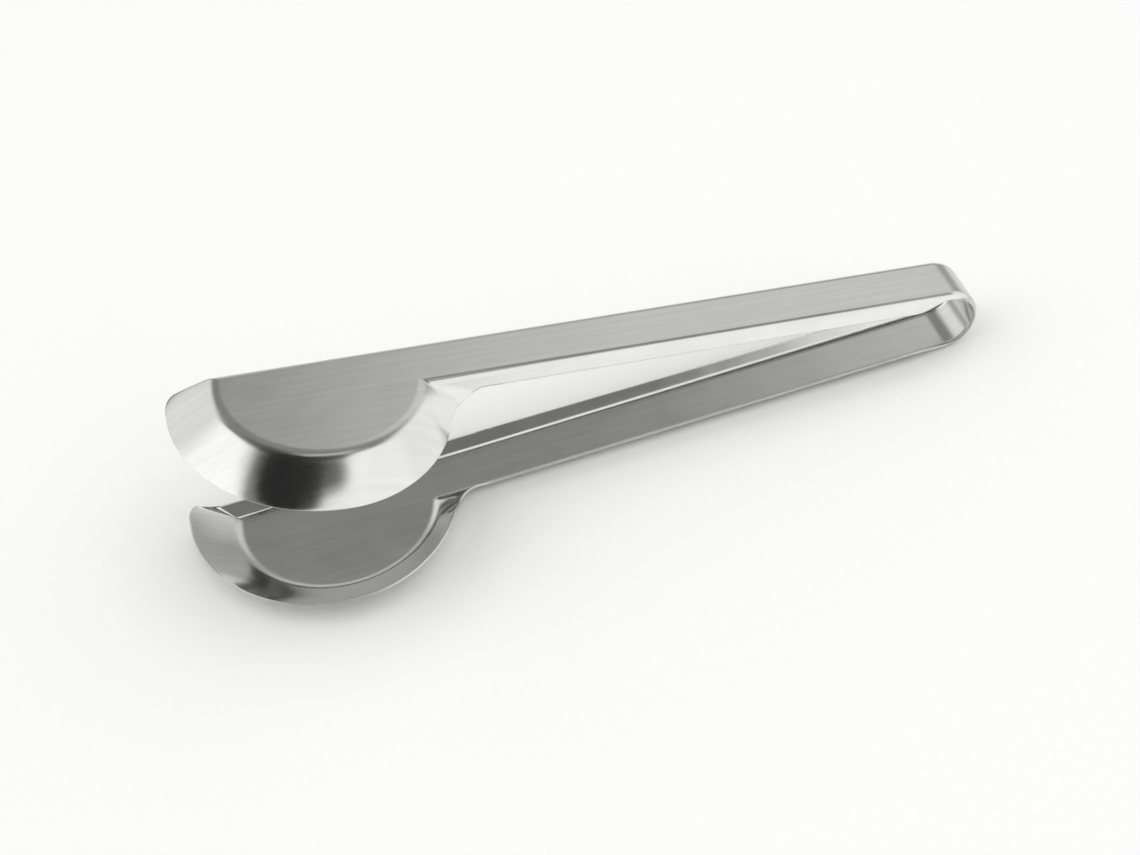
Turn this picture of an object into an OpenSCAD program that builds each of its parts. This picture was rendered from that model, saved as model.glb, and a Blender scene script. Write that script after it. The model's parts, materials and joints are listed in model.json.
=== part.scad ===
// Spring tongs pressed from one strip of stainless steel sheet.
// Frame: +Z up, +X towards the bow, the half-moon blades at -X bulge towards -Y.
// Origin: on the flat underside of the lower arm, on its centreline, where the tongs rest.
// Each arm is drawn once, lying on its outer face: s runs from the bow towards the tip,
// y runs across it and depth runs from the outer face towards the other arm.

/* [Sheet] */
// Thickness of the steel sheet
sheet_t = 0.7; // [0.5:0.1:1]
// Radius of the folds, at the outside face
fold_r = 3.25; // [2.5:0.05:4]
// Angle of the arm's flanges, away from its flat web
flange_angle = 55.6; // [45:0.1:65]

/* [Arms] */
// Half width of the flat web between the folds
web_half = 6.36; // [5:0.01:8]
// Straight width of the front flange, beyond its fold
front_flange = 2.75; // [2:0.05:4]
// Straight width of the back flange at the bow
back_flange = 2.35; // [2:0.05:3]
// Growth of the back flange over 100 mm of arm
back_flange_growth = 0.96; // [0.5:0.01:1.2]
// Length over which the flanges run out before the bow
run_out = 12; // [8:1:20]
// Length of the straight arm, from the bow to the blade
arm_l = 143; // [120:1:143]
// Where the origin lies along the lower arm, from the bow
origin_s = 114; // [60:1:120]

/* [Bow] */
// Outer radius of the bow
bow_r = 11.03; // [9:0.01:14]
// Angle between the relaxed arms
open_angle = 9.8; // [6:0.1:12]

/* [Blades] */
// Distance of the blade's centre from the bow's centre
blade_s = 195.5; // [194:0.5:198]
// Radius of the blade's edge at the tip and the front
blade_r = 43.7; // [42:0.1:45]
// Reach of the blade's edge from its centre towards the handle
blade_back_r = 38; // [36:0.5:40]
// Radius of the blade's flat bottom
flat_r = 28; // [26:0.5:29]
// Depth of the blade's edge below its flat bottom
blade_depth = 8.85; // [7:0.05:10]
// Extra reach of the rim's slope where it runs into the arm, so that it falls more gently there
rim_flare = 9.4; // [0:0.1:12]
// Angle from the arm's direction at which that extra reach has died away
flare_angle = 35; // [25:1:45]
// Radius of the fold between the flat bottom and the rim
rim_fold_r = 7; // [5:0.5:8]
// Radius of the hollow curve from the arm's edge to the blade's edge
neck_r = 13.5; // [12:0.5:16]
// Where that curve leaves the arm's edge, from the bow's centre
neck_s = 148.8; // [147:0.1:150]
// Length of that curve along the arm
neck_l = 12.05; // [11:0.05:14]
// How softly neighbouring slopes of the blade meet, 0 is a sharp line
valley_soft = 0.15; // [0.05:0.01:0.25]
// Where the back edge starts to round off into the tip, from the bow's centre
round_s = 235.5; // [232:0.1:237]
// How far across, on the back's side, that rounding meets the blade's round edge
round_y = 4; // [1:0.1:6]

/* [Hidden] */
// Smoothness of the bow
$fn = 64;
// Steps round the arc of a fold and along a flange's run-out
fold_steps = 12;
run_out_steps = 12;
// How far a cutting shape reaches past what it cuts
clear = 1;
steel = "silver";
steel_arm = "lightgray";
steel_blade = "gainsboro";

// The fold's reach across and its depth at the end of its arc
fold_y = fold_r * sin(flange_angle);
fold_depth = fold_r * (1 - cos(flange_angle));
// Edges of the two flanges across the arm
front_edge_y = web_half + fold_y + front_flange * cos(flange_angle);
function back_flange_at(s) = back_flange + back_flange_growth * s / 100;
function back_edge_y(s) = web_half + fold_y + back_flange_at(s) * cos(flange_angle);

// ---- Arms and bow: one folded section ----

// One side of one face of the sheet, across (y) against depth: round the fold of radius r
// from the web's edge, and then straight for the flange's width w
function side_points(r, w) = concat(
    [for (k = [0 : fold_steps]) let (a = flange_angle * k / fold_steps)
        [web_half + r * sin(a), fold_r - r * cos(a)]],
    w == 0 ? [] : [[web_half + r * sin(flange_angle) + w * cos(flange_angle),
                    fold_r - r * cos(flange_angle) + w * sin(flange_angle)]]);
function other_side(points) = [for (q = points) [-q.x, q.y]];
function backwards(points) = [for (k = [len(points) - 1 : -1 : 0]) points[k]];

// Web with a fold and a flange at each side; a flange of width 0 leaves only the fold
module folded_section(front_w, back_w) {
    inner_r = fold_r - sheet_t;
    polygon(concat(backwards(other_side(side_points(fold_r, front_w))),
                   side_points(fold_r, back_w),
                   backwards(side_points(inner_r, back_w)),
                   other_side(side_points(inner_r, front_w))));
}

// What is cut from the flange on the +y side: all beyond an edge that swells from
// nothing at the bow to start_w past the run-out, and then runs straight to end_w
module flange_cut(start_w, end_w) {
    beyond = end_w + clear;
    past_arm = arm_l + clear;
    edge = [for (k = [0 : run_out_steps]) let (u = k / run_out_steps)
            [u * run_out, start_w * u * u * (3 - 2 * u)]];
    translate([0, web_half + fold_y, fold_depth]) rotate([flange_angle, 0, 0])
        translate([0, 0, -clear]) mirror([1, 0, 0]) linear_extrude(sheet_t + 2 * clear)
            polygon(concat([[-clear, beyond], [-clear, 0]], edge,
                           [[arm_l, end_w], [past_arm, end_w], [past_arm, beyond]]));
}

module arm_shape() {
    back_w = back_flange_at(arm_l);
    difference() {
        rotate([90, 0, -90]) mirror([1, 0, 0]) linear_extrude(arm_l)
            folded_section(front_flange, back_w);
        flange_cut(back_flange_at(run_out), back_w);
        mirror([0, 1, 0]) flange_cut(front_flange, front_flange);
    }
}

// ---- Blade: a sheet whose outer face is a height over the plan ----

// Depth of a face that folds away from the flat and then runs straight
function folded_depth(d, r, angle) =
    d <= 0 ? 0 :
    d < r * sin(angle) ? r - sqrt(r * r - d * d) :
    r * (1 - cos(angle)) + (d - r * sin(angle)) * tan(angle);
// Angle at which a rim with a fold of radius r falls by depth over width w
function rim_angle(w, depth, r) =
    atan2(depth - r, w) + asin(r / norm([w, depth - r]));
// The higher and the lower of two slopes, with a soft valley or ridge where they are alike
function softening(a, b) =
    let (k = 4 * valley_soft * sqrt(a * b))
    k > 0 ? pow(max(k - abs(a - b), 0), 2) / (4 * k) : 0;
function soft_higher(a, b) = max(a, b) + softening(a, b);
function soft_lower(a, b) = min(a, b) - softening(a, b);

// Distance from the blade's centre to where the rim's slope reaches its full depth, in the
// direction of (ds, y); towards the handle it lies beyond the edge
function slope_back_r(share) =
    let (u = min(max((share - cos(flare_angle)) / (1 - cos(flare_angle)), 0), 1))
    blade_back_r + rim_flare * u * u * (3 - 2 * u);
function slope_reach(ds, y) =
    let (d = max(norm([ds, y]), 0.001))
    1 / norm([ds / d / (ds < 0 ? slope_back_r(-ds / d) : blade_r), y / d / blade_r]);
function rim_depth(s, y) =
    let (w = slope_reach(s - blade_s, y) - flat_r)
    folded_depth(norm([s - blade_s, y]) - flat_r, rim_fold_r,
                 rim_angle(w, blade_depth, rim_fold_r));
function back_wall_depth(y) = folded_depth(y - web_half, fold_r, flange_angle);
function front_depth(s, y) =
    s >= blade_s ? rim_depth(s, y) :
    y >= 0 ? 0 :
    soft_lower(folded_depth(-y - web_half, fold_r, flange_angle), rim_depth(s, y));
function blade_face(s, y) = soft_higher(back_wall_depth(y), front_depth(s, y));

// Plan outline: front edge and back edge of the blade at s
neck_end_s = neck_s + neck_l;
function neck_y(s) = -front_edge_y - neck_r + sqrt(max(pow(neck_r, 2) - pow(s - neck_s, 2), 0));
function rim_y(s) =
    let (reach = s < blade_s ? blade_back_r : blade_r)
    -blade_r * sqrt(max(1 - pow((s - blade_s) / reach, 2), 0));
function front_y(s) =
    s < neck_s ? -front_edge_y :
    s < neck_end_s ? neck_y(s) :
    rim_y(s);
round_end_s = blade_s + sqrt(pow(blade_r, 2) - pow(round_y, 2));
function back_y(s) =
    s < round_s ? back_edge_y(s) :
    s < round_end_s ? round_y + (back_edge_y(round_s) - round_y)
        * sqrt(1 - pow((s - round_s) / (round_end_s - round_s), 2)) :
    -rim_y(s);

// Stations along the blade: even steps along the neck, then even angles round the edge
neck_step = 1.5;
first_angle = -60;
last_angle = 88;
angle_step = 4;
stations = concat(
    [arm_l],
    [for (s = [neck_s : neck_step : neck_end_s]) s],
    [for (a = [first_angle : angle_step : -angle_step]) blade_s + blade_back_r * sin(a)],
    [for (a = [0 : angle_step : last_angle]) blade_s + blade_r * sin(a)]);

// Points across a station: the front slope, the flat and the back wall
front_steps = 13;
flat_steps = 4;
wall_steps = 6;
// Least share of the width given to the front slope and to the back wall
front_share = 0.25;
wall_share = 0.2;
// Half the distance over which a slope of the face is measured
slope_step = 0.05;
function across(s) =
    let (lo = front_y(s), hi = back_y(s), w = hi - lo,
         front_split = max(-web_half, lo + front_share * w),
         back_split = min(web_half, hi - wall_share * w))
    concat([for (k = [0 : front_steps - 1]) lo + (front_split - lo) * k / front_steps],
           [for (k = [0 : flat_steps - 1]) front_split + (back_split - front_split) * k / flat_steps],
           [for (k = [0 : wall_steps]) back_split + (hi - back_split) * k / wall_steps]);

// Points of the outer face and of the inner face, a sheet thickness away
function face_point(s, y) = [-s, y, blade_face(s, y)];
function inner_point(s, y) =
    let (h = slope_step,
         ds = (blade_face(s + h, y) - blade_face(s - h, y)) / (2 * h),
         dy = (blade_face(s, y + h) - blade_face(s, y - h)) / (2 * h),
         n = [ds, -dy, 1] / norm([ds, -dy, 1]))
    face_point(s, y) + sheet_t * n;

module blade_shape() {
    rows = [for (s = stations) across(s)];
    n = len(rows[0]);
    m = len(stations);
    outer = [for (i = [0 : m - 1], y = rows[i]) face_point(stations[i], y)];
    inner = [for (i = [0 : m - 1], y = rows[i]) inner_point(stations[i], y)];
    function at(i, j) = i * n + j;
    inner_start = m * n;
    faces = concat(
        [for (i = [0 : m - 2], j = [0 : n - 2]) each [
            [at(i, j), at(i, j + 1), at(i + 1, j + 1)],
            [at(i, j), at(i + 1, j + 1), at(i + 1, j)]]],
        [for (i = [0 : m - 2], j = [0 : n - 2]) each [
            [inner_start + at(i + 1, j + 1), inner_start + at(i, j + 1), inner_start + at(i, j)],
            [inner_start + at(i + 1, j), inner_start + at(i + 1, j + 1), inner_start + at(i, j)]]],
        [for (i = [0 : m - 2]) each [
            [at(i, 0), at(i + 1, 0), inner_start + at(i + 1, 0)],
            [at(i, 0), inner_start + at(i + 1, 0), inner_start + at(i, 0)],
            [at(i + 1, n - 1), at(i, n - 1), inner_start + at(i, n - 1)],
            [at(i + 1, n - 1), inner_start + at(i, n - 1), inner_start + at(i + 1, n - 1)]]],
        [for (j = [0 : n - 2], i = [0, m - 1]) each (i == 0 ? [
            [at(i, j + 1), at(i, j), inner_start + at(i, j)],
            [at(i, j + 1), inner_start + at(i, j), inner_start + at(i, j + 1)]] : [
            [at(i, j), at(i, j + 1), inner_start + at(i, j + 1)],
            [at(i, j), inner_start + at(i, j + 1), inner_start + at(i, j)]])]);
    polyhedron(concat(outer, inner), faces);
}

// ---- Places of the two arms ----

module place_lower() {
    translate([origin_s, 0, 0]) children();
}
module place_upper() {
    translate([origin_s, 0, bow_r]) rotate([0, open_angle, 0]) mirror([0, 0, 1])
        translate([0, 0, -bow_r]) children();
}

// ---- Sub-parts ----

module spring_bow() {
    color(steel) translate([origin_s, 0, bow_r]) rotate([90, 0, 0]) rotate([0, 0, -90])
        rotate_extrude(angle = 180 - open_angle)
            translate([bow_r, 0]) rotate([0, 0, 90]) folded_section(0, 0);
}
module lower_arm() { color(steel_arm) place_lower() arm_shape(); }
module lower_blade() { color(steel_blade) place_lower() blade_shape(); }
module upper_arm() { color(steel_arm) place_upper() arm_shape(); }
module upper_blade() { color(steel_blade) place_upper() blade_shape(); }

spring_bow();
lower_arm();
lower_blade();
upper_arm();
upper_blade();
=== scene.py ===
# %% [markdown]
# # Spring tongs pressed from one strip of stainless steel
# The real tongs are a single blank cut from sheet 0.7 mm thick. A press folds its two long
# edges into flanges, dishes a half-moon blade at each end, and the middle is bent into a bow
# that is the spring. Everything here follows that: each region of the strip starts as a flat
# blank, is pressed and bent to shape, gets the sheet's thickness, and has its cut edge rounded.
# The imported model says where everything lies, so it is loaded before anything is made.

import json
from math import asin, atan2, cos, hypot, pi, radians, sin, sqrt, tan

import bmesh
import bpy
from mathutils import Matrix, Vector


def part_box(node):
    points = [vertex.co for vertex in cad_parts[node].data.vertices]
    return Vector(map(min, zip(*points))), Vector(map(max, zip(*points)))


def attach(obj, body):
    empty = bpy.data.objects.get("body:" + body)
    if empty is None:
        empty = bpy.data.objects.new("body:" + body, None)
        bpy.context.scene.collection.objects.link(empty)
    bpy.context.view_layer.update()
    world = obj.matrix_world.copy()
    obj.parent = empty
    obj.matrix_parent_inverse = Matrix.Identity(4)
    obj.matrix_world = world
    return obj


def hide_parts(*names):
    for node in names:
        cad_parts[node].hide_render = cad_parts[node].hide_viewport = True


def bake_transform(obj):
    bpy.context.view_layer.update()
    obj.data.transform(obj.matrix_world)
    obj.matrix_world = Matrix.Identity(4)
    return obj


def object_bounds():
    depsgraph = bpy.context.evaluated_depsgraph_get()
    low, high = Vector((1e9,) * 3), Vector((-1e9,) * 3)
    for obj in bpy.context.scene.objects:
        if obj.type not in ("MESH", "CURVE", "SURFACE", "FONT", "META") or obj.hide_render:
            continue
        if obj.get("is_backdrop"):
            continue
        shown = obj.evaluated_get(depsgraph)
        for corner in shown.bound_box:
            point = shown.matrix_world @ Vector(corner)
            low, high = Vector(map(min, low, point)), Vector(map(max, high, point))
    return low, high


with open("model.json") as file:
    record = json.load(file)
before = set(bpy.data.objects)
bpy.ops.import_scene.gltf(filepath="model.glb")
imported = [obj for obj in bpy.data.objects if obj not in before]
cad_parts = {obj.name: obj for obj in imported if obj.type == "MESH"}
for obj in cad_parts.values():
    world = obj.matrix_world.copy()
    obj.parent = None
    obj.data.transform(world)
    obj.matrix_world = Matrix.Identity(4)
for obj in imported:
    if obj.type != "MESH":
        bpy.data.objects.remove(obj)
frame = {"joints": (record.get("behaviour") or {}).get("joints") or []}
cad_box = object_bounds()

# %% [markdown]
# ## Camera
# The tongs lie on their lower arm and are seen from the front, from above and a little from the
# left, with a moderate telephoto lens. The camera is also rolled by a few degrees, so that the
# lower arm climbs to the right. It is made first, because all the looks are judged through it.

# %% Camera
MM = 0.001
EYE = Vector((-93.08, -429.01, 460.09)) * MM
RIGHT = Vector((0.948096, -0.300622, -0.103632))
UP = Vector((0.286989, 0.668621, 0.685991))



def in_scene(name, data):
    """A new object in the scene that shows the data."""
    thing = bpy.data.objects.new(name, data)
    bpy.context.scene.collection.objects.link(thing)
    return thing


camera_data = bpy.data.cameras.new("camera")
camera_data.sensor_width = 36
camera_data.lens = 64.92
camera = in_scene("camera", camera_data)
camera.matrix_world = (Matrix.Translation(EYE)
                       @ Matrix((RIGHT, UP, RIGHT.cross(UP))).transposed().to_4x4())
bpy.context.scene.camera = camera
print("camera looks along", [round(c, 3) for c in UP.cross(RIGHT)])

# %% [markdown]
# ## The dimensions of the strip
# All lengths here are millimetres until a point is placed. The frame gives the bow's place and
# the lengths of the arm and the blade: the joint's axis runs through the bow's centre, and the
# lower arm lies flat on z = 0, so the height of that axis is the bow's outer radius. The
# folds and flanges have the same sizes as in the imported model, which they have to match.

# %% Dimensions
joint = frame["joints"][0]
BOW_X = joint["pos_m"][0] / MM
BOW_R = joint["pos_m"][2] / MM
ARM_L = BOW_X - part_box("lower_arm")[0].x / MM
TIP_S = BOW_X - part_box("lower_blade")[0].x / MM
BOW_TURN = pi - radians(9.8)    # the relaxed arms stand 9.8 degrees open

SHEET = 0.7                     # thickness of the steel
WEB_HALF = 6.36                 # half width of the flat web
FOLD_R = 3.25                   # radius of a fold at the outer face
FLANGE_ANGLE = radians(55.6)    # how far a flange is turned in from the web
FRONT_FLANGE = 2.75             # straight width of the front flange
BACK_FLANGE = 2.35              # straight width of the back flange at the bow
BACK_GROWTH = 0.0096            # how much it gains for each mm of arm
RUN_OUT = 12                    # length over which the flanges die away at the bow
BOW_ENDS = 2                    # how far the bow piece runs on into each arm

BLADE_S = 195.5                 # centre of the half-moon, from the bow's centre
BLADE_R = 43.7                  # its edge at the front and the tip
BLADE_BACK_R = 38               # its edge towards the handle
FLAT_R = 28                     # its flat bottom
BLADE_DEPTH = 8.85              # depth of its edge
RIM_FOLD_R = 7                  # fold between flat bottom and rim
RIM_CROWN = 0.2                 # how far springback bulges the rim out, two thirds of the way up
CROWN_PEAK = 27 / 4             # brings the highest value of t * t * (1 - t) to 1
RIM_FLARE = 9.4                 # extra reach of the rim's slope where it runs into the arm
FLARE_ANGLE = radians(35)       # that extra reach dies away over this angle
NECK_R = 13.5                   # hollow curve from the arm's edge to the blade's edge
NECK_S = 148.8                  # where that curve starts
NECK_L = 12.05                  # its length along the arm
ROUND_S = 235.5                 # where the back edge starts to round off into the tip
ROUND_Y = 4                     # how far across that rounding meets the round edge
VALLEY_S = 231.74               # where the valley of the tip corner meets the back edge
VALLEY_SOFT = 0.15              # how softly neighbouring slopes meet

FOLD_Y = FOLD_R * sin(FLANGE_ANGLE)
print(f"bow centre x {BOW_X:.2f}, radius {BOW_R:.2f}, arm {ARM_L:.2f}, tip at {TIP_S:.2f} mm")

# %% [markdown]
# ## The pressed face
# A press tool only forms what it can pull straight out of, so the whole outer face is a depth
# over the flat blank: one depth for each point (s, y), where s runs from the bow to the tip
# and y runs across. A fold is an arc that leaves the flat and runs on into a straight slope.
# Where two slopes meet, the deeper one wins in a valley and the shallower one on a ridge.

# %% Depth of the pressed face
def folded_depth(d, r, angle):
    """Depth at a distance d past the edge of a flat: an arc of radius r, then a slope."""
    if d <= 0:
        return 0.0
    if d < r * sin(angle):
        return r - sqrt(r * r - d * d)
    return r * (1 - cos(angle)) + (d - r * sin(angle)) * tan(angle)


def softening(a, b):
    """How much a valley or a ridge between two slopes is rounded off."""
    k = 4 * VALLEY_SOFT * sqrt(a * b)
    return max(k - abs(a - b), 0) ** 2 / (4 * k) if k > 0 else 0


def eased(u):
    """0 to 1 with no corner at either end."""
    u = min(max(u, 0), 1)
    return u * u * (3 - 2 * u)


def rim_depth(s, y):
    """Depth of the half-moon's fold and rim, which reach BLADE_DEPTH at the blade's edge."""
    ds, d = s - BLADE_S, max(hypot(s - BLADE_S, y), 0.001)
    flare = RIM_FLARE * eased((-ds / d - cos(FLARE_ANGLE)) / (1 - cos(FLARE_ANGLE)))
    width = 1 / hypot(ds / d / (BLADE_BACK_R + flare if ds < 0 else BLADE_R),
                      y / d / BLADE_R) - FLAT_R
    fall = BLADE_DEPTH - RIM_FOLD_R
    angle = atan2(fall, width) + asin(RIM_FOLD_R / hypot(width, fall))
    t = max(d - FLAT_R, 0) / width
    crown = RIM_CROWN * CROWN_PEAK * (t * t * (1 - t) if t < 1 else 1 - t)
    return max(folded_depth(d - FLAT_R, RIM_FOLD_R, angle) - crown, 0)


def face_depth(s, y):
    """Depth of the whole outer face, from the flanges and the rim together."""
    back = folded_depth(y - WEB_HALF, FOLD_R, FLANGE_ANGLE)
    front = folded_depth(-y - WEB_HALF, FOLD_R, FLANGE_ANGLE)
    if s >= BLADE_S:
        front = rim_depth(s, y)
    elif s > ARM_L:
        rim = rim_depth(s, y)
        front = min(front, rim) - softening(front, rim)
    return max(back, front) + softening(back, front)


print("depth at the blade's front edge", round(face_depth(BLADE_S, -BLADE_R), 2), "mm")

# %% [markdown]
# ## Ribs: how the blank is laid out
# Bright steel shows every uneven facet, so the mesh has to run with the folds. It is laid out
# in ribs that cross the strip, and each rib has four points in plan: front edge, front fold,
# back fold and back edge. Along the arm the ribs stand square. On the blade they fan out from
# the straight back to the round rim. The last one runs down the valley at the tip corner, and
# folds back on itself there, so that rim and back wall join without a gap.

# %% Ribs
def along(a, b, t):
    """The value a share t of the way from a to b."""
    return a + (b - a) * t


def back_edge_y(s):
    """The strip's back edge in plan; the flange dies away over RUN_OUT beside the bow."""
    straight = (BACK_FLANGE + BACK_GROWTH * max(s, RUN_OUT)) * eased(s / RUN_OUT)
    return WEB_HALF + FOLD_Y + straight * cos(FLANGE_ANGLE)


def front_edge_y(s):
    return -WEB_HALF - FOLD_Y - FRONT_FLANGE * eased(s / RUN_OUT) * cos(FLANGE_ANGLE)


def arm_rib(s):
    return (s, front_edge_y(s)), (s, -WEB_HALF), (s, WEB_HALF), (s, back_edge_y(s))


def rounded(angle, r_back, r):
    """Point round the half-moon: angle 0 is towards the handle, a right angle is the front."""
    reach = r_back if angle < pi / 2 else r
    return min(BLADE_S - reach * cos(angle), TIP_S), -r * sin(angle)


ARM_EDGE_Y = front_edge_y(RUN_OUT)
FLAT_START = asin(WEB_HALF / FLAT_R)        # where the flat bottom's edge leaves the web's edge
FLAT_END = pi + FLAT_START
RIM_START = pi / 2 - asin((BLADE_S - NECK_S - NECK_L) / BLADE_BACK_R)
RIM_END = pi + asin(ROUND_Y / BLADE_R)
NECK_TURN = asin(NECK_L / NECK_R)
NECK_FOLD_END = 0.9                         # past this share of the neck, ribs fold at the flat
BLADE_BACK_S = 167                          # the fan's ribs reach the back edge from here
CORNER_S = VALLEY_S - 5                     # and the tip corner's ribs from here
CORNER_FLAT = 0.95                          # share of the flat's edge that the fan takes
CORNER_FOLD = 1                             # length of back fold left for the corner's ribs
ROUND_SHARE = 0.7                           # share of the corner's ribs on its rounded edge


def neck_rib(t):
    a = NECK_TURN * t
    edge = NECK_S + NECK_R * sin(a), ARM_EDGE_Y - NECK_R * (1 - cos(a))
    flat_corner = BLADE_S - FLAT_R * cos(FLAT_START)
    back_s = along(NECK_S, BLADE_BACK_S, t)
    return (edge, (along(NECK_S, flat_corner, min(t / NECK_FOLD_END, 1)), -WEB_HALF),
            (back_s, WEB_HALF), (back_s, back_edge_y(back_s)))


def fan_rib(t):
    rim = rounded(along(RIM_START, RIM_END, t), BLADE_BACK_R, BLADE_R)
    flat = rounded(along(FLAT_START, FLAT_END, t * CORNER_FLAT), FLAT_R, FLAT_R)
    back_s = along(BLADE_BACK_S, CORNER_S, t)
    fold_s = along(BLADE_BACK_S, BLADE_S + FLAT_R * cos(FLAT_START) - CORNER_FOLD, t)
    return rim, flat, (fold_s, WEB_HALF), (back_s, back_edge_y(back_s))


def corner_rib(t):
    tip, turn = rounded(RIM_END, BLADE_BACK_R, BLADE_R), min(t / ROUND_SHARE, 1) * pi / 2
    if t < ROUND_SHARE:
        edge = (along(ROUND_S, tip[0], cos(turn)), along(ROUND_Y, back_edge_y(ROUND_S), sin(turn)))
    else:
        edge_s = along(ROUND_S, VALLEY_S, (t - ROUND_SHARE) / (1 - ROUND_SHARE))
        edge = edge_s, back_edge_y(edge_s)
    flat = rounded(along(FLAT_START, FLAT_END, along(CORNER_FLAT, 1, t)), FLAT_R, FLAT_R)
    back_s = along(CORNER_S, VALLEY_S, t)
    fold_s = BLADE_S + FLAT_R * cos(FLAT_START) - CORNER_FOLD * (1 - t)
    return edge, flat, (fold_s, WEB_HALF), (back_s, back_edge_y(back_s))


def ribs(rib, n, start=0.0, end=1.0):
    """n ribs after the first one, evenly spaced from start to end."""
    return [rib(along(start, end, k / n)) for k in range(1, n + 1)]


def bow_rib(q):
    """A square rib within the bow, where the flanges have died away."""
    return (q, front_edge_y(0)), (q, -WEB_HALF), (q, WEB_HALF), (q, back_edge_y(0))


RUN_OUT_RIBS, ARM_RIBS, END_RIBS = 16, 24, 4
NECK_RIBS, FAN_RIBS, CORNER_RIBS, BOW_RIBS = 30, 170, 20, 128
BOW_L = BOW_R * BOW_TURN                    # length of strip in the bow
arm_ribs = ([arm_rib(BOW_ENDS)] + ribs(arm_rib, RUN_OUT_RIBS, BOW_ENDS, RUN_OUT)
            + ribs(arm_rib, ARM_RIBS, RUN_OUT, ARM_L))
blade_ribs = ([arm_rib(ARM_L)] + ribs(arm_rib, END_RIBS, ARM_L, NECK_S)
              + ribs(neck_rib, NECK_RIBS) + ribs(fan_rib, FAN_RIBS)
              + ribs(corner_rib, CORNER_RIBS))
bow_ribs = ([arm_rib(BOW_ENDS)] + ribs(arm_rib, END_RIBS, BOW_ENDS, 0)
            + ribs(bow_rib, BOW_RIBS, 0, -BOW_L)
            + [tuple((-BOW_L - s, y) for s, y in rib)
               for rib in ribs(arm_rib, END_RIBS, 0, BOW_ENDS)])
print("ribs:", len(arm_ribs), "an arm,", len(blade_ribs), "a blade,", len(bow_ribs), "the bow")

# %% [markdown]
# ## Bending the strip
# The strip is one straight length until its middle is bent round a mandrel. So a point is first
# placed on a straight strip that lies along the lower arm, with q counted from the start of the
# bow. Points within the bow then turn round the joint's axis, and points past it turn by the
# whole angle, which brings the upper arm over the lower one.

# %% Place a point of the strip
AXIS = Vector((BOW_X, 0, BOW_R))


def bent(q, y, depth):
    """Where a point of the strip lies once the strip is bent, in metres."""
    turned = min(max(q, 0), BOW_L)
    point = Vector((BOW_X + q - turned, y, depth))
    return (AXIS + Matrix.Rotation(-turned / BOW_R, 3, "Y") @ (point - AXIS)) * MM


print("the strip is", round(2 * TIP_S + BOW_L, 1), "mm long before it is bent")

# %% [markdown]
# ## From blank to finished sheet
# `press` takes a plain grid, with one column for each rib, and moves every vertex to its place,
# as the tools do with the blank. The rows are closer together beside the folds. Each vertex keeps
# its place on the flat blank, because the sheet's rolling grain follows it round every bend.
# `finish_sheet` gives the wall its thickness towards the inside of the tongs. It then rounds the
# two long corners of the cut edge, which tumbling takes off the real part so that it doesn't cut.

# %% Press, thicken, round the edges
SLOPE_ROWS, FLAT_ROWS = 26, 14
CROWDING = 1.3                  # above 1, the rows are closer together beside a fold
SAME_PLACE = 0.002              # points this close are one, where the last rib folds on itself
DRAWN_DEPTH = 2                 # the tool rubs the steel brighter where it is drawn this deep
EDGE_ROUND, EDGE_STEPS = 0.1, 2
CUT_ANGLE = radians(60)         # an edge sharper than this is a corner of the cut edge
SMOOTH_ANGLE = radians(40)      # an edge flatter than this is shaded smooth
SEAM_CLEAR = 0.01               # an edge this close to a seam isn't part of the cut edge
rows = ([(0, 1 - (1 - k / SLOPE_ROWS) ** CROWDING) for k in range(SLOPE_ROWS)]
        + [(1, k / FLAT_ROWS) for k in range(FLAT_ROWS)]
        + [(2, (k / SLOPE_ROWS) ** CROWDING) for k in range(SLOPE_ROWS + 1)])


def press(columns, strip_place):
    """The outer face of one region; strip_place says where its s lies on the strip."""
    bm = bmesh.new()
    blank = bm.verts.layers.float_vector.new("blank")
    nx, ny = len(columns) - 1, len(rows) - 1
    bmesh.ops.create_grid(bm, x_segments=nx, y_segments=ny, size=0.5)
    for v in bm.verts:
        rib = columns[round((v.co.x + 0.5) * nx)]
        stretch, t = rows[round((v.co.y + 0.5) * ny)]
        s, y = (along(a, b, t) for a, b in zip(rib[stretch], rib[stretch + 1]))
        q, depth = strip_place(s), face_depth(s, y)
        v[blank] = Vector((q * MM, y * MM, min(depth / DRAWN_DEPTH, 1)))
        v.co = bent(q, y, depth)
    bmesh.ops.remove_doubles(bm, verts=bm.verts, dist=SAME_PLACE * MM)
    return bm


def finish_sheet(bm, name, seams, outward):
    """Thickens a pressed face, rounds its cut edge away from the seams, makes the object."""
    blank = bm.verts.layers.float_vector["blank"]
    bm.normal_update()
    if sum((f.normal * f.calc_area() for f in bm.faces), Vector()).dot(outward) < 0:
        bmesh.ops.reverse_faces(bm, faces=bm.faces)
    bmesh.ops.solidify(bm, geom=bm.faces[:], thickness=SHEET * MM)
    bm.normal_update()
    cut = [e for e in bm.edges if e.calc_face_angle(0) > CUT_ANGLE
           and not any(all(abs(v[blank].x / MM - q) < SEAM_CLEAR for v in e.verts)
                       for q in seams)]
    corners = set(cut)
    for f in bm.faces:
        f.material_index = int(sum(e in corners for e in f.edges) > 1)
    bmesh.ops.bevel(bm, geom=cut, offset=EDGE_ROUND * MM, segments=EDGE_STEPS, profile=0.5,
                    affect="EDGES", material=-1)
    for e in bm.edges:
        e.smooth = e.calc_face_angle(0) < SMOOTH_ANGLE
    for f in bm.faces:
        f.smooth = True
    mesh = bpy.data.meshes.new(name)
    bm.to_mesh(mesh)
    bm.free()
    piece = in_scene(name, mesh)
    lo, hi = (Vector(map(f, zip(*(v.co / MM for v in mesh.vertices)))) for f in (min, max))
    print(f"{name}: {len(mesh.polygons)} faces, from {lo.x:.2f} {lo.y:.2f} {lo.z:.2f}"
          f" to {hi.x:.2f} {hi.y:.2f} {hi.z:.2f} mm")
    return piece


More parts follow.
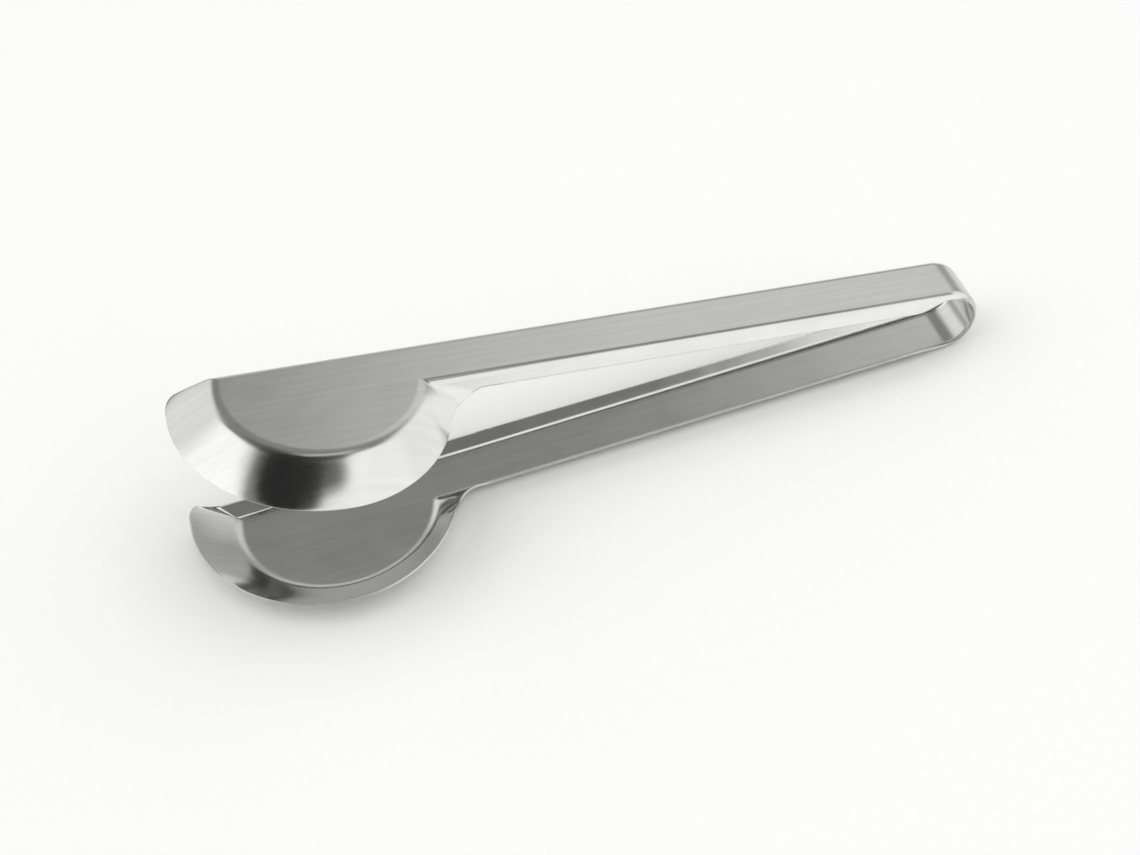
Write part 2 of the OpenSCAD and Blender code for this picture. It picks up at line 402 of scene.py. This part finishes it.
def lower(s):
    """The lower arm and blade lie before the start of the bow."""
    return -s


def upper(s):
    """The upper arm and blade lie past its end."""
    return BOW_L + s


DOWN, OUT = Vector((0, 0, -1)), Vector((1, 0, 0))
lower_arm = finish_sheet(press(arm_ribs, lower), "tongs_lower_arm",
                         (lower(BOW_ENDS), lower(ARM_L)), DOWN)
lower_blade = finish_sheet(press(blade_ribs, lower), "tongs_lower_blade", (lower(ARM_L),), DOWN)
upper_arm = finish_sheet(press(arm_ribs, upper), "tongs_upper_arm",
                         (upper(BOW_ENDS), upper(ARM_L)), -DOWN)
upper_blade = finish_sheet(press(blade_ribs, upper), "tongs_upper_blade", (upper(ARM_L),), -DOWN)
bow = finish_sheet(press(bow_ribs, lower), "tongs_bow", (lower(BOW_ENDS), upper(BOW_ENDS)), OUT)

# %% [markdown]
# ## Tying the pieces to the frame
# Each arm with its blade is stiff beside the bow, so these pieces ride on their bodies. The bow
# is the spring, but here it rides on neither body and keeps the shape it was bent to. Its two
# ends run on into the arms.

# %% Ride, replace
pieces = {lower_arm: ("lower", "lower_arm", "arm_steel"),
          lower_blade: ("lower", "lower_blade", "blade_steel"),
          upper_arm: ("upper", "upper_arm", "arm_steel"),
          upper_blade: ("upper", "upper_blade", "blade_steel"),
          bow: (None, "spring_bow", "bow_steel")}
for piece, (body, node_name, slot) in pieces.items():
    if body:
        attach(piece, body)
    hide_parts(node_name)
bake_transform(bow)
print("pieces in place:", ", ".join(p.name for p in pieces))

# %% [markdown]
# ## Tools for the finishes
# A hex colour is stored for screens, and a shader needs it as linear light, so one function
# converts it. Another adds a node, sets it and links it. Patterns are sized by the width of what
# they show in millimetres, along the strip and across it, and read the place on the flat blank.

# %% Node tools
def colour(hex_code):
    """sRGB hex to linear light, with alpha."""
    shares = [int(hex_code[i:i + 2], 16) / 255 for i in (1, 3, 5)]
    return [c / 12.92 if c <= 0.04045 else ((c + 0.055) / 1.055) ** 2.4 for c in shares] + [1]


def add(tree, kind, inputs=None, **settings):
    """Adds a node with its settings; each input is either linked or set to a value."""
    node = tree.nodes.new(kind)
    for name, value in settings.items():
        setattr(node, name, value)
    for name, value in (inputs or {}).items():
        if isinstance(value, bpy.types.NodeSocket):
            tree.links.new(value, node.inputs[name])
        else:
            node.inputs[name].default_value = value
    return node


def pattern(tree, place, length, width, turn=0.0, detail=3.0, warp=0.0):
    """Noise whose grains are length by width millimetres, turned on the blank by an angle."""
    spread = add(tree, "ShaderNodeMapping", {"Vector": place, "Rotation": (0, 0, turn)})
    stretched = add(tree, "ShaderNodeMapping", {"Vector": spread.outputs[0],
                                                "Scale": (1000 / length, 1000 / width, 0)})
    return add(tree, "ShaderNodeTexNoise", {
        "Vector": stretched.outputs[0], "Scale": 1.0, "Detail": detail,
        "Roughness": 0.55, "Distortion": warp}, noise_dimensions="2D").outputs["Fac"]


def ranged(tree, value, low, high, to_low, to_high):
    """Maps low..high to to_low..to_high, and goes no further at either end."""
    return add(tree, "ShaderNodeMapRange", {
        "Value": value, "From Min": low, "From Max": high,
        "To Min": to_low, "To Max": to_high}, clamp=True).outputs["Result"]


def total(tree, *values):
    """The sum of the values."""
    result = values[0]
    for value in values[1:]:
        result = add(tree, "ShaderNodeMath", {0: result, 1: value}, operation="ADD").outputs[0]
    return result


def new_material(name):
    """A material, its node tree and its shader."""
    material = bpy.data.materials.new(name)
    material.use_nodes = True
    return material, material.node_tree, material.node_tree.nodes["Principled BSDF"]


print("white is", colour("#ffffff"))

# %% [markdown]
# ## The sheet's finish
# Cold-rolled stainless sheet leaves the mill with a satin face: very fine lines along the
# rolling direction and longer, fainter streaks between them. The press rubs the steel where it
# is drawn over the tool, so rims and folds come out brighter and smoother than the flats.
# Pressing also leaves the flats uneven, by less than a tenth of a millimetre from the lowest to
# the highest place. That shows as soft light and dark clouds in the reflections. Use adds a
# haze of handling and some hairline scratches.

# %% Sheet finish
TINT = "#c7c7c6", "#cdcdcb"     # the same steel, a little duller and a little brighter
FLAT_ROUGH, DRAWN_ROUGH = 0.18, 0.10
HAZE_ROUGH, SCRATCH_ROUGH = 0.03, 0.025
GRAIN_DEPTH = 0.00007           # depth of the rolling grain, in millimetres


def sheet_finish(name, uneven):
    """Cold-rolled sheet; uneven is the most that its waves could rise, in millimetres."""
    material, tree, shader = new_material(name)
    blank = add(tree, "ShaderNodeAttribute", attribute_name="blank").outputs["Vector"]
    drawn = add(tree, "ShaderNodeSeparateXYZ", {"Vector": blank}).outputs["Z"]

    grain = pattern(tree, blank, 9, 0.22)
    streaks = pattern(tree, blank, 55, 1.7, detail=2)
    haze = pattern(tree, blank, 21, 13, turn=0.5, warp=0.6)
    clouds = pattern(tree, blank, 26, 15, detail=1)
    hairlines = ranged(tree, pattern(tree, blank, 14, 0.16, turn=0.62, detail=1), 0.69, 0.74, 0, 1)
    cross_lines = ranged(tree, pattern(tree, blank, 10, 0.14, turn=-1.1, detail=1),
                         0.70, 0.75, 0, 1)

    rough = total(tree, ranged(tree, drawn, 0, 1, FLAT_ROUGH, DRAWN_ROUGH),
                  ranged(tree, grain, 0.3, 0.7, -0.015, 0.015),
                  ranged(tree, streaks, 0.35, 0.65, -0.004, 0.004),
                  ranged(tree, haze, 0.35, 0.65, 0, HAZE_ROUGH),
                  ranged(tree, hairlines, 0, 1, 0, SCRATCH_ROUGH),
                  ranged(tree, cross_lines, 0, 1, 0, SCRATCH_ROUGH))
    tree.links.new(rough, shader.inputs["Roughness"])

    tone = ranged(tree, total(tree, streaks, haze), 0.75, 1.25, 0, 1)
    steel = add(tree, "ShaderNodeMix", {"Factor": tone, "A": colour(TINT[0]),
                                        "B": colour(TINT[1])}, data_type="RGBA")
    tree.links.new(steel.outputs["Result"], shader.inputs["Base Color"])

    waves = add(tree, "ShaderNodeBump", {"Height": clouds, "Distance": uneven * MM})
    fine = add(tree, "ShaderNodeBump", {"Height": grain, "Distance": GRAIN_DEPTH * MM,
                                        "Normal": waves.outputs[0]})
    tree.links.new(fine.outputs[0], shader.inputs["Normal"])
    shader.inputs["Metallic"].default_value = 1.0
    return material


# one sheet has one finish: only the evenness left by the tools differs from region to region
arm_finish = sheet_finish("satin_rolled_steel", 0.12)
blade_finish = sheet_finish("pressed_burnished_steel", 0.12)
bow_finish = sheet_finish("bent_rolled_steel", 0.03)
print("finishes:", arm_finish.name, bow_finish.name, blade_finish.name)

# %% [markdown]
# ## The cut edge
# The blank is sheared out of the sheet and then tumbled. A sheared edge is smooth next to one
# face and torn next to the other, with fine lines that run through the thickness. Tumbling
# leaves it duller than the faces.

# %% Cut edge
TEAR_DEPTH = 0.006              # depth of the torn lines, in millimetres


def edge_finish(name):
    """Sheared and tumbled steel."""
    material, tree, shader = new_material(name)
    blank = add(tree, "ShaderNodeAttribute", attribute_name="blank").outputs["Vector"]
    tears = pattern(tree, blank, 0.3, 0.3, detail=4)
    dull = pattern(tree, blank, 6, 6, detail=2)
    tree.links.new(total(tree, ranged(tree, tears, 0.3, 0.7, 0.3, 0.45),
                         ranged(tree, dull, 0.3, 0.7, 0, 0.1)), shader.inputs["Roughness"])
    steel = add(tree, "ShaderNodeMix", {"Factor": tears, "A": colour("#b4b4b3"),
                                        "B": colour("#cbcbca")}, data_type="RGBA")
    tree.links.new(steel.outputs["Result"], shader.inputs["Base Color"])
    bump = add(tree, "ShaderNodeBump", {"Height": tears, "Distance": TEAR_DEPTH * MM})
    tree.links.new(bump.outputs[0], shader.inputs["Normal"])
    shader.inputs["Metallic"].default_value = 1.0
    return material


cut_edge = edge_finish("sheared_tumbled_edge")
finishes = {"arm_steel": arm_finish, "blade_steel": blade_finish, "bow_steel": bow_finish}
for piece, (body, node_name, slot) in pieces.items():
    piece.data.materials.append(finishes[slot])
    piece.data.materials.append(cut_edge)
    flat_shading = piece.modifiers.new("even_shading", "WEIGHTED_NORMAL")
    flat_shading.mode = "FACE_AREA"
    flat_shading.keep_sharp = True
print("cut edge:", cut_edge.name)

# %% [markdown]
# ## Room
# Bright steel looks like whatever surrounds it, so the light is laid out for its reflections.
# The tongs lie in a plain room: a grey vault, paler towards the horizon. Soft white walls stand
# on the left, on the right and in front on the right. Without them the rim's right slope and
# the upper arm come out darker. The dark place where somebody leans over the table is above
# and in front, and gives the rim its black heart. A strip light overhead only brightens parts
# of the folds: a short piece beside that black heart and thin lines along both arms. Each of
# these is one soft round patch of the sky, with its direction, the angles where it is full and
# where it is gone, and its radiance. It is painted over the ones before it.

# %% Room
world = bpy.data.worlds.new("room")
bpy.context.scene.world = world
world.use_nodes = True
room = world.node_tree
direction = add(room, "ShaderNodeTexCoord").outputs["Generated"]
height = add(room, "ShaderNodeSeparateXYZ", {"Vector": direction}).outputs["Z"]
HORIZON, VAULT = (0.1, 0.55), (0.6, 0.33)   # height and radiance of each
light = ranged(room, height, HORIZON[0], VAULT[0], HORIZON[1], VAULT[1])


def patch(under, towards, inner, outer, radiance):
    """A soft round patch: full within the inner angle, gone beyond the outer one."""
    close = add(room, "ShaderNodeVectorMath", {0: direction, 1: Vector(towards).normalized()},
                operation="DOT_PRODUCT").outputs["Value"]
    share = add(room, "ShaderNodeMapRange", {
        "Value": close, "From Min": cos(radians(outer)), "From Max": cos(radians(inner)),
        "To Min": 0.0, "To Max": 1.0}, interpolation_type="SMOOTHSTEP").outputs["Result"]
    return add(room, "ShaderNodeMix", {"Factor": share, "A": under, "B": radiance}).outputs[0]


for towards, inner, outer, radiance in (
        ((-0.80, 0.15, 0.58), 25, 33, 1.6),         # left wall
        ((-0.48, 0.72, 0.48), 10, 24, 1.15),        # back left
        ((-0.47, 0.88, 0.04), 6, 11, 0.06),         # a dark doorway, low at the back left
        ((0.08, 0.97, 0.24), 6, 20, 0.75),          # the backdrop's lower edge
        ((0.52, 0.60, 0.61), 4, 23, 0.93),          # back right
        ((0.92, 0.04, 0.38), 18, 35, 1.3),          # right wall
        ((0.50, -0.60, 0.62), 26, 38, 1.4),         # front right wall
        ((0.05, -0.70, 0.71), 12, 22, 1.3),         # front, between the person and the table
        ((0.00, -0.92, 0.39), 11, 17, 0.25),        # the person, low in front
        ((-0.12, 0.22, 0.965), 7, 13, 0.16),        # the dark ceiling, behind the table
        ((-0.19, 0.00, 0.98), 9, 14.5, 0.08),       # and over it
        ((0.15, 0.06, 0.987), 3, 7, 0.95),          # a strip light: its left end
        ((0.30, 0.04, 0.95), 3, 7, 0.95),           # and its right end
        ((0.17, -0.19, 0.97), 9, 14, 0.08),         # the ceiling, in front of the strip light
        ((-0.13, -0.22, 0.965), 12.5, 17.5, 0.03)):  # the person, overhead
    light = patch(light, towards, inner, outer, radiance)
room.links.new(light, room.nodes["Background"].inputs["Strength"])
room.nodes["Background"].inputs["Color"].default_value = colour("#ffffff")
bpy.context.scene.view_settings.view_transform = "Standard"
print("room:", len(room.nodes), "nodes")

# %% [markdown]
# ## Floor
# The tongs lie on a board with matt white paint, large enough to fill every view. A roller leaves
# a faint tooth in such paint. The board is a hair lower than the tongs, so that it can't flicker
# through their flat underside. A wide soft light overhead lifts it to white. The steel doesn't
# reflect this light, because the room already has everything that the steel should show.

# %% Floor
FLOOR_HALF, FLOOR_DROP = 4000, 0.2          # in millimetres
TOOTH_SCALE = 500.0                         # bumps of paint in each metre
bm = bmesh.new()
bmesh.ops.create_grid(bm, x_segments=1, y_segments=1, size=FLOOR_HALF * MM)
bmesh.ops.translate(bm, verts=bm.verts, vec=(0, 0, -FLOOR_DROP * MM))
mesh = bpy.data.meshes.new("floor")
bm.to_mesh(mesh)
bm.free()
floor = in_scene("floor", mesh)
floor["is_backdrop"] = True

paint, tree, board = new_material("white_board_paint")
place = add(tree, "ShaderNodeTexCoord").outputs["Object"]
tooth = add(tree, "ShaderNodeTexNoise", {"Vector": place, "Scale": TOOTH_SCALE}).outputs["Fac"]
tree.links.new(ranged(tree, tooth, 0.3, 0.7, 0.7, 0.8), board.inputs["Roughness"])
white = add(tree, "ShaderNodeMix", {"Factor": tooth, "A": colour("#f5f5f4"),
                                    "B": colour("#f8f8f7")}, data_type="RGBA")
tree.links.new(white.outputs["Result"], board.inputs["Base Color"])
board.inputs["Specular IOR Level"].default_value = 0.2
mesh.materials.append(paint)

lamp = bpy.data.lights.new("floor_light", "AREA")
lamp.shape = "DISK"
lamp.size = 2.4
lamp.energy = 13.0
floor_light = in_scene("floor_light", lamp)
floor_light.location = (0, 0, 1.9)
floor_light.visible_camera = False
floor_light.visible_glossy = False
floor_light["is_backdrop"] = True
print("floor and floor light ready")

# %% [markdown]
# ## Sizes
# The boxes of the imported model and of the finished one are printed. The finished
# model may not grow past the imported one.

# %% Finish
visual_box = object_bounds()
for label, box in (("packed", cad_box), ("finished", visual_box)):
    print(label, [round(c / MM, 2) for c in box[0]], [round(c / MM, 2) for c in box[1]])
